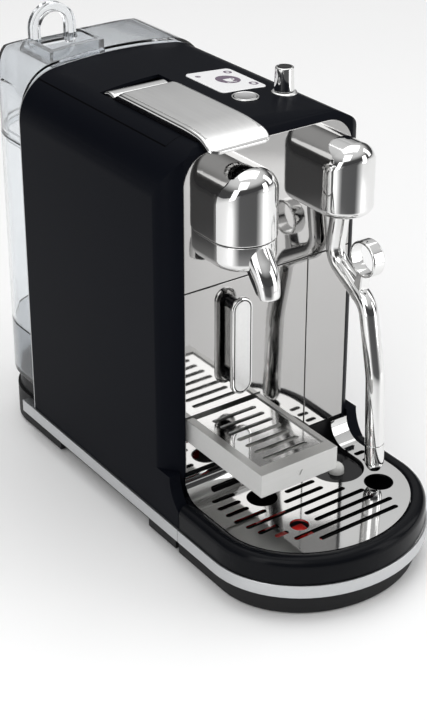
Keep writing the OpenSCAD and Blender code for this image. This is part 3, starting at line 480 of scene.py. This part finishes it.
soften("body_shell", 0.45, paint)
soften("rear_trim", 0.3, strip_metal)
soften("body_strip", 0.4, strip_metal)
soften("base_pan", 0.8, dark_plastic)
soften("tank_dock", 0.8, black_plastic)
soften("back_panel", 0.0, black_plastic)
soften("front_panel", 0.35, mirror)
soften("side_panel", 0.35, mirror)
soften("container_front", 0.35, mirror)
soften("cup_support_box", 0.7, support_metal, 3)
soften("cup_support_top", 0.25, chrome)
soften("sensor_arm", 0.6, gloss_black)
soften("temp_sensor", 0.0, white_plastic)


# ---------------------------------------------------------------- coffee and steam heads

BREW_X, BREW_R = -30, 24
head_foot = [(0.05, 241), (BREW_R - 4, 241)] + arc(BREW_R - 1.0, 242.0, 1.0, -90, 0, 4)
make("coffee_head_dome", arched_head(BREW_X, BREW_R, 33, 291, 13, head_foot), "machine",
     chrome, ("coffee_head",))

COLLAR_R, COLLAR_Z = 23.4, 221.2
collar_outline = ([(0, COLLAR_Z)] + arc(COLLAR_R - 7, COLLAR_Z + 7, 7, -90, 0, 8)
                  + arc(COLLAR_R - 0.6, 239.6, 0.6, 0, 90, 3) + [(0, 240.2)])
make("coffee_collar_ring", bullet(BREW_X, COLLAR_R, 32.4, collar_outline), "machine",
     chrome, ("coffee_collar",))
make("collar_shadow_gap", bullet(BREW_X, COLLAR_R - 1.4, 31, [(0, 239.9), (COLLAR_R - 1.4, 239.9),
     (COLLAR_R - 1.4, 241.3), (0, 241.3)]), "machine", gloss_black)


def beak_ring(z, front, back, half):
    """One level of the spout: rounder in front than behind."""
    middle = (front + back) / 2
    deep = (back - front) / 2
    ring = []
    for k in range(40):
        a = math.tau * k / 40
        c, s = math.cos(a), math.sin(a)
        power = 0.9 if s < 0 else 0.7
        ring.append((BREW_X + half * math.copysign(abs(c) ** 0.9, c),
                     middle + deep * math.copysign(abs(s) ** power, s), z))
    return ring


beak = [beak_ring(*level) for level in (
    (239.6, -31.8, -12, 8.6), (237, -33.4, -13, 9.2), (233.5, -35.4, -16, 9.6),
    (230, -37.8, -19, 9.8), (226, -40.6, -23, 9.6), (222, -42.8, -27, 9.2),
    (217, -44.6, -30.5, 8.6), (212, -45.5, -33, 8.0),
    (207.5, -45.7, -34.6, 7.5), (206.1, -45.4, -34.8, 7.2), (205.7, -45.0, -35.1, 6.8),
    (205.7, -44.0, -35.8, 5.6), (208, -43.8, -36, 5.4), (211, -43.8, -36, 5.4))]
make("coffee_spout_beak", loft(beak), "machine", chrome, ("coffee_spout",))
# painted shade: a gloss black core shows out behind the chrome beak, standing in for the shade and
# reflection of the black nozzle inside
shade_core = [beak_ring(*level) for level in (
    (226, -38, -17, 7.6), (221, -39, -19.5, 7.5), (216, -40.5, -23.5, 7.2), (211, -42, -27.5, 6.8),
    (207.6, -42.5, -30, 6.4), (206.8, -42, -30.8, 5.8))]
make("spout_rear_core", loft(shade_core), "machine", gloss_black)
soften("spout_liner", 0.2, black_plastic)

STEAM_X, STEAM_R = 50.5, 20.5
steam_foot = ([(0.05, 256), (13.5, 256), (13.5, 240.6), (14.0, 240)]
              + arc(STEAM_R - 6, 246, 6, -90, 0, 8))
make("steam_head_dome", arched_head(STEAM_X, STEAM_R, 37, 292, 11, steam_foot), "machine",
     chrome, ("steam_head",))
wand_line = bend_points([(-14, 242.5, 0), (-8, 203, 16), (-46, 180, 18), (-57.07, 128.5, 60),
                         (-59.5, 77, 0)], 14)
make("steam_wand_tube", round_bar(STEAM_X, wand_line, [6.8] * len(wand_line)), "wand",
     chrome, ("steam_wand",))
down = Vector((-math.sin(math.radians(2.7)), -math.cos(math.radians(2.7))))
tip_sizes = [(0, 6.3), (0.8, 6.3), (1.0, 6.75), (1.3, 6.9), (14.5, 6.9), (16.5, 6.7), (18.5, 6.1),
             (20.6, 5.0), (21.6, 4.3), (22, 3.6), (22, 1.3), (19.5, 1.2)]
tip_line = [tuple(Vector((-59.5, 77)) + down * along) for along, _ in tip_sizes]
tip = bmesh.new()
before = []
for (y, z), (_, r) in zip(tip_line, tip_sizes):
    level = Matrix(((1, 0, 0, STEAM_X), (0, down.y, down.x, y),
                    (0, -down.x, down.y, z), (0, 0, 0, 1)))
    ring = bmesh.ops.create_circle(tip, segments=40, radius=r, matrix=level)["verts"]
    edges = list({e for v in ring for e in v.link_edges if e.other_vert(v) in ring})
    if before:
        bmesh.ops.bridge_loops(tip, edges=before + edges)
    before = edges
bmesh.ops.holes_fill(tip, edges=[e for e in tip.edges if len(e.link_faces) == 1], sides=0)
make("steam_tip_nozzle", tip, "wand", chrome, ("steam_tip",))

RING_Y, RING_Z = -43, 214
ring_section = ([(STEAM_X - 5, RING_Y, RING_Z + 11.6)] + [(STEAM_X - 3.8 + x, RING_Y, RING_Z + z)
                for x, z in arc(0, 12.0, 1.2, 180, 90, 4)]
                + [(STEAM_X + 3.8 + x, RING_Y, RING_Z + z) for x, z in arc(0, 12.0, 1.2, 90, 0, 4)]
                + [(STEAM_X + 5, RING_Y, RING_Z + 11.6), (STEAM_X + 4.2, RING_Y, RING_Z + 11.2),
                   (STEAM_X - 4.2, RING_Y, RING_Z + 11.2)])
band = bmesh.new()
verts = [band.verts.new(p) for p in ring_section]
edges = [band.edges.new(pair) for pair in zip(verts, verts[1:] + verts[:1])]
bmesh.ops.spin(band, geom=verts + edges, cent=(STEAM_X, RING_Y, RING_Z), axis=(1, 0, 0),
               angle=math.tau, steps=64, use_merge=True, use_duplicate=False)
make("finger_ring", band, "wand", chrome, ("wand_ring",))
stem = plate([(-43.2, 201.5), (-37.7, 202.6), (-33.5, 189.5), (-41.7, 187.7)], "yz",
             STEAM_X - 4.2, STEAM_X + 4.2, 1.0)
make("finger_ring_stem", stem, "wand", chrome)
soften("wand_ball", 0.5, black_plastic)


# ---------------------------------------------------------------- lever

LEVER_Z = 296
lever_rows = [(-9.4, 302.4, 18), (-8.6, 303.2, 21.2), (-7.0, 304.2, 23.4), (-5.2, 305.2, 24.5),
              (-3, 306.5, 24.8), (0, 307.9, 24.5), (4, 309.1, 24.0), (9, 310.0, 23.7),
              (16, 310.8, 23.7), (25, 311.2, 23.7), (60, 311.3, 23.7), (98, 311.2, 23.7),
              (101.5, 310.8, 23.7), (103, 310.0, 23.7)]


def lever_ring(y, top, half, roll, drop):
    """One cut across the lever's top: its long edges are rolled down."""
    left = [(BREW_X - half + roll + a, y, top - roll + b) for a, b in arc(0, 0, roll, 180, 90, 5)]
    right = [(BREW_X + half - roll + a, y, top - roll + b) for a, b in arc(0, 0, roll, 90, 0, 5)]
    return ([(BREW_X - half, y, top - drop)] + left + right + [(BREW_X + half, y, top - drop)])


skin = [lever_ring(y, top, half, min(2.0, 0.7 + max(0, y + 9.4) * 0.3), 3.2 - max(0, -y - 4) * 0.3)
        for y, top, half in lever_rows]
make("lever_rim", loft(skin), "lever", chrome, ("lever_plate",))
face_rows = [(y, top + 0.35, half - 3.0 - max(0, 4 - y) * 0.35)
             for y, top, half in lever_rows[4:-1]]
face = [lever_ring(y, top, half, 0.4, 1.6) for y, top, half in face_rows]
make("lever_face", loft(face), "lever", lever_metal)

cap_section = ([(-23.6, 9.0)] + arc(-21.9, 10.7, 1.7, 180, 90, 5) + arc(21.9, 10.7, 1.7, 90, 0, 5)
               + [(23.6, 9.0)])
cap = bmesh.new()
begin = math.radians(128)
verts = [cap.verts.new((BREW_X + x, 115 + r * math.cos(begin), LEVER_Z + r * math.sin(begin)))
         for x, r in cap_section]
edges = [cap.edges.new(pair) for pair in zip(verts, verts[1:] + verts[:1])]
bmesh.ops.spin(cap, geom=verts + edges, cent=(BREW_X, 115, LEVER_Z), axis=(1, 0, 0),
               angle=-math.radians(140), steps=30, use_duplicate=False)
bmesh.ops.holes_fill(cap, edges=[e for e in cap.edges if len(e.link_faces) == 1], sides=0)
make("lever_rear_cap", cap, "lever", chrome)
soften("lever_frame", 0.5, gloss_black)


# ---------------------------------------------------------------- controls

KNOB = (49, 50, crown(49))
make("knob_grip", turn([(0, 2), (6.6, 2)] + arc(6.6, 2.6, 0.6, -90, 0, 3)
     + arc(5.7, 18.2, 0.9, 5, 90, 5) + [(5.2, 19.1), (5.0, 18.7), (0, 18.7)], KNOB), "knob",
     chrome, ("knob",))
make("knob_top", turn([(0, 18.2), (4.9, 18.2), (4.9, 18.9), (4.5, 19.3), (2.4, 19.6), (0, 19.7)],
     KNOB), "knob", gloss_black)
make("knob_base_ring", turn([(3.1, -7.5), (8.2, -7.5), (8.4, -0.6), (9.3, -0.3), (9.4, 0.3),
     (8.9, 1.0), (8.0, 1.5), (7.6, 1.6), (3.1, 1.6), (3.1, -7.5)], KNOB), "machine",
     lever_metal, ("knob_collar",))

BUTTON = (17, 52, crown(17))
make("button_face", turn([(0, -4), (7.9, -4)] + arc(7.4, 0.4, 0.5, 0, 90, 4)
     + [(6.4, 0.72), (4.2, 0.5), (2.0, 0.38), (0, 0.34)], BUTTON), "button",
     button_metal, ("start_button",))
make("button_ring_bezel", turn([(8.2, -8), (9.5, -8), (9.5, -0.2)] + arc(9.2, 0.3, 0.5, 0, 90, 4)
     + [(8.9, 0.8), (8.5, 0.7), (8.2, 0.4), (8.2, -8)], BUTTON), "machine",
     chrome, ("button_ring",))
SCREEN_TILT = math.asin(27.5 / 387)
screen_finish = lit_screen((0.0275, PANEL_Y + 0.090, crown(27.5) * 0.001), SCREEN_TILT)
soften("screen_glass", 0.5, screen_finish, 3)


# ---------------------------------------------------------------- container handle

GRIP_Z = 203.3 - 9.5 - 37
GRIP_HALF_W = 8.75
GRIP_HALF_H = 37
grip = [[(x, y, z) for x, z in stadium(BREW_X, GRIP_Z, GRIP_HALF_W - i, GRIP_HALF_H - i)]
        for y, i in (
            (-10.6, 2.2), (-11, 1.6), (-11, 1.0), (-10.6, 0.4), (-9.4, 0), (-8, 0.3), (-6.8, 1.6),
            (-6.2, 3.6))]
make("handle_bar", loft(grip), "container", chrome, ("container_handle",))
make("handle_face_plate", plate(stadium(BREW_X, GRIP_Z, 6.3, 34.6), "xz", -11.2, -10.2, 0.3),
     "container", lever_metal)
for end, low in (("upper", GRIP_Z + 24), ("lower", GRIP_Z - 33)):
    post = plate(stadium(BREW_X, low + 4.5, 3.6, 4.5), "xz", -6.4, -0.02, 0.3)
    make("handle_post_" + end, post, "container", gloss_black)


# ---------------------------------------------------------------- drip tray

# Half the tray's width, how far its round front reaches, and where the front begins
TRAY_HALF = 85.5
TRAY_ROUND = 72.5
TRAY_SIDE_Y = -55.5


def tray_edge(inset, z, back):
    """The tray's outline at a height: straight sides and an elliptical front."""
    half, deep = TRAY_HALF - inset, TRAY_ROUND - inset
    front = [(half * math.cos(math.radians(a)), TRAY_SIDE_Y - deep * math.sin(math.radians(a)), z)
             for a in range(0, 181, 3)]
    return [(half, back, z)] + front + [(-half, back, z)]


# Across the rim: how far in from the tray's edge, and the height
rim_section = [(1.6, 29.3), (1.6, 41.0), (1.8, 43.0), (2.6, 45.0), (4.0, 46.7), (5.8, 47.7),
               (7.8, 48.0), (10.2, 47.8), (11.6, 47.2), (12.3, 46.3), (12.5, 45.2), (12.5, 40),
               (6.6, 40), (6.6, 29.3)]
rim = loft([tray_edge(i, z, -11.6) for i, z in rim_section], closed=False, joined=True)
make("tray_rim_ring", rim, "tray", rim_black, ("tray_rim",))
for side, low, high in (("left", -74.4, -73), ("right", 73, 74.4)):
    strip = plate([(low, -11.8), (high, -11.8), (high, -1.2), (low, -1.2)], "xy", 29.3, 47.8, 0.2)
    make("tray_rim_end_" + side, strip, "tray", rim_black)
soften("tray_strip", 0.35, strip_metal)
soften("tray_base", 0.9, dark_plastic, 3)
soften("drip_grille", 0.3, grille_metal)
soften("tray_pan", 0.3, black_plastic)
soften("tray_float", 0.6, red_plastic, 3)


# ---------------------------------------------------------------- water tank

soften("water_tank", 0.6, clear)
soften("tank_foot_cup", 0.8, clear_foot)
soften("tank_lid", 1.6, clear_lid, 3)
soften("tank_handle", 2.4, clear, 4)


# ---------------------------------------------------------------- pieces kept from the CAD

PLAIN = {
    "frame_plastic": black_plastic, "base_plastic": dark_plastic, "gloss_black": gloss_black,
    "inner_steel": plain_steel, "cast_alloy": cast_metal, "brass_fitting": brass,
    "board_green": board, "rubber_feet": rubber, "chrome_trim": chrome, "mirror_steel": mirror,
    "satin_strip": strip_metal, "satin_alloy": lever_metal, "shell_paint": paint,
    "screen_black": gloss_black, "float_red": red_plastic, "sensor_cap": white_plastic,
    "tank_clear": clear, "tank_smoke": clear_foot,
}
for name, cad in nodes.items():
    for place in cad.material_slots:
        place.material = PLAIN[SLOT_OF[name]]


# ---------------------------------------------------------------- floor, light and camera

def set_floor():
    f = Finish("studio_floor", (0.92, 0.92, 0.92), Roughness=0.6, Specular_IOR_Level=0.2)
    cloud = f.noise(3, 2)
    pale = f.blend(cloud, (0.985, 0.985, 0.985), (0.995, 0.995, 0.995))
    # painted reflection: for glossy rays only, the floor turns dark in a wedge in front of the
    # machine, so the polished pieces reflect a dark card that is not there and get their contrast
    x, y, _ = f.axes(f.place(centre=(-0.03, -0.09, 0)))
    far = (x * x + y * y).root()
    ahead = (x * -0.309 - y * 0.951) / (far + 0.001)
    painted_reflection_card = ((ahead - 0.6) * 3.4).at_least(0).at_most(1) * ((far - 0.2) * 3).at_least(0).at_most(1)
    mirrored = f.add("ShaderNodeLightPath", out=3)
    # painted reflection: the dark card colour is mixed in only where glossy rays see the floor
    f.feed("Base Color", f.blend(painted_reflection_card * mirrored, pale, (0.09, 0.09, 0.092)))
    bm = bmesh.new()
    bmesh.ops.create_circle(bm, cap_ends=True, segments=96, radius=14)
    mesh = bpy.data.meshes.new("studio_floor")
    bm.to_mesh(mesh)
    bm.free()
    mesh.materials.append(f.material)
    floor = bpy.data.objects.new("studio_floor", mesh)
    bpy.context.scene.collection.objects.link(floor)


def softbox(name, where, aim, width, height, watts, tint=(1, 1, 1)):
    light = bpy.data.lights.new(name, "AREA")
    light.shape = "RECTANGLE"
    light.size = width
    light.size_y = height
    light.energy = watts
    light.color = tint
    lamp = bpy.data.objects.new(name, light)
    bpy.context.scene.collection.objects.link(lamp)
    lamp.visible_camera = False
    lamp.location = where
    lamp.rotation_euler = (Vector(aim) - Vector(where)).to_track_quat("-Z", "Y").to_euler()


def set_studio():
    world = bpy.data.worlds.new("studio")
    bpy.context.scene.world = world
    world.use_nodes = True
    tree = world.node_tree
    background = next(n for n in tree.nodes if n.type == "BACKGROUND")
    where = tree.nodes.new("ShaderNodeTexCoord")
    split = tree.nodes.new("ShaderNodeSeparateXYZ")
    ramp = tree.nodes.new("ShaderNodeValToRGB")
    stops = ramp.color_ramp.elements
    stops[0].position, stops[0].color = 0.0, (0.10, 0.10, 0.105, 1)
    stops[1].position, stops[1].color = 0.85, (1.25, 1.25, 1.25, 1)
    for spot, level in ((0.3, 0.10), (0.45, 0.5), (0.62, 1.1)):
        stops.new(spot).color = (level, level, level, 1)
    seen = tree.nodes.new("ShaderNodeLightPath")
    mixed = tree.nodes.new("ShaderNodeMix")
    mixed.data_type = "RGBA"
    mixed.inputs[7].default_value = (1.6, 1.6, 1.6, 1)
    tree.links.new(where.outputs["Generated"], split.inputs[0])
    tree.links.new(split.outputs["Z"], ramp.inputs[0])
    tree.links.new(seen.outputs["Is Camera Ray"], mixed.inputs[0])
    tree.links.new(ramp.outputs[0], mixed.inputs[6])
    tree.links.new(mixed.outputs[2], background.inputs["Color"])
    background.inputs["Strength"].default_value = 0.62
    bpy.context.scene.view_settings.view_transform = "Standard"
    aim = (0, 0, 0.17)
    softbox("key_light", (-1.5, -1.3, 1.9), aim, 1.5, 1.5, 11)
    softbox("top_light", (0.2, 0.3, 2.4), aim, 2.4, 2.4, 20)
    softbox("side_light", (1.9, -0.7, 1.1), aim, 0.8, 1.5, 6)
    softbox("back_light", (1.15, 1.60, 1.10), (0, 0, 0.31), 1.5, 0.8, 1.0)
    softbox("left_strip", (-0.62, -0.30, 0.3), (0, -0.1, 0.2), 0.22, 0.5, 0.8)
    softbox("right_strip", (0.42, -0.62, 0.3), (0, -0.1, 0.2), 0.22, 0.5, 0.8)


def set_camera():
    lens = bpy.data.cameras.new("camera")
    lens.sensor_width = 36
    lens.lens = 79.41
    lens.shift_y = -0.15
    lens.clip_end = 60
    camera = bpy.data.objects.new("camera", lens)
    bpy.context.scene.collection.objects.link(camera)
    right = Vector((0.81611, -0.57790, 0))
    up = Vector((0.24469, 0.34555, 0.90594))
    axes = Matrix((right, up, right.cross(up))).transposed().to_4x4()
    camera.matrix_world = Matrix.Translation((-0.5964, -0.8450, 0.6730)) @ axes
    bpy.context.scene.camera = camera


set_floor()
set_studio()
set_camera()
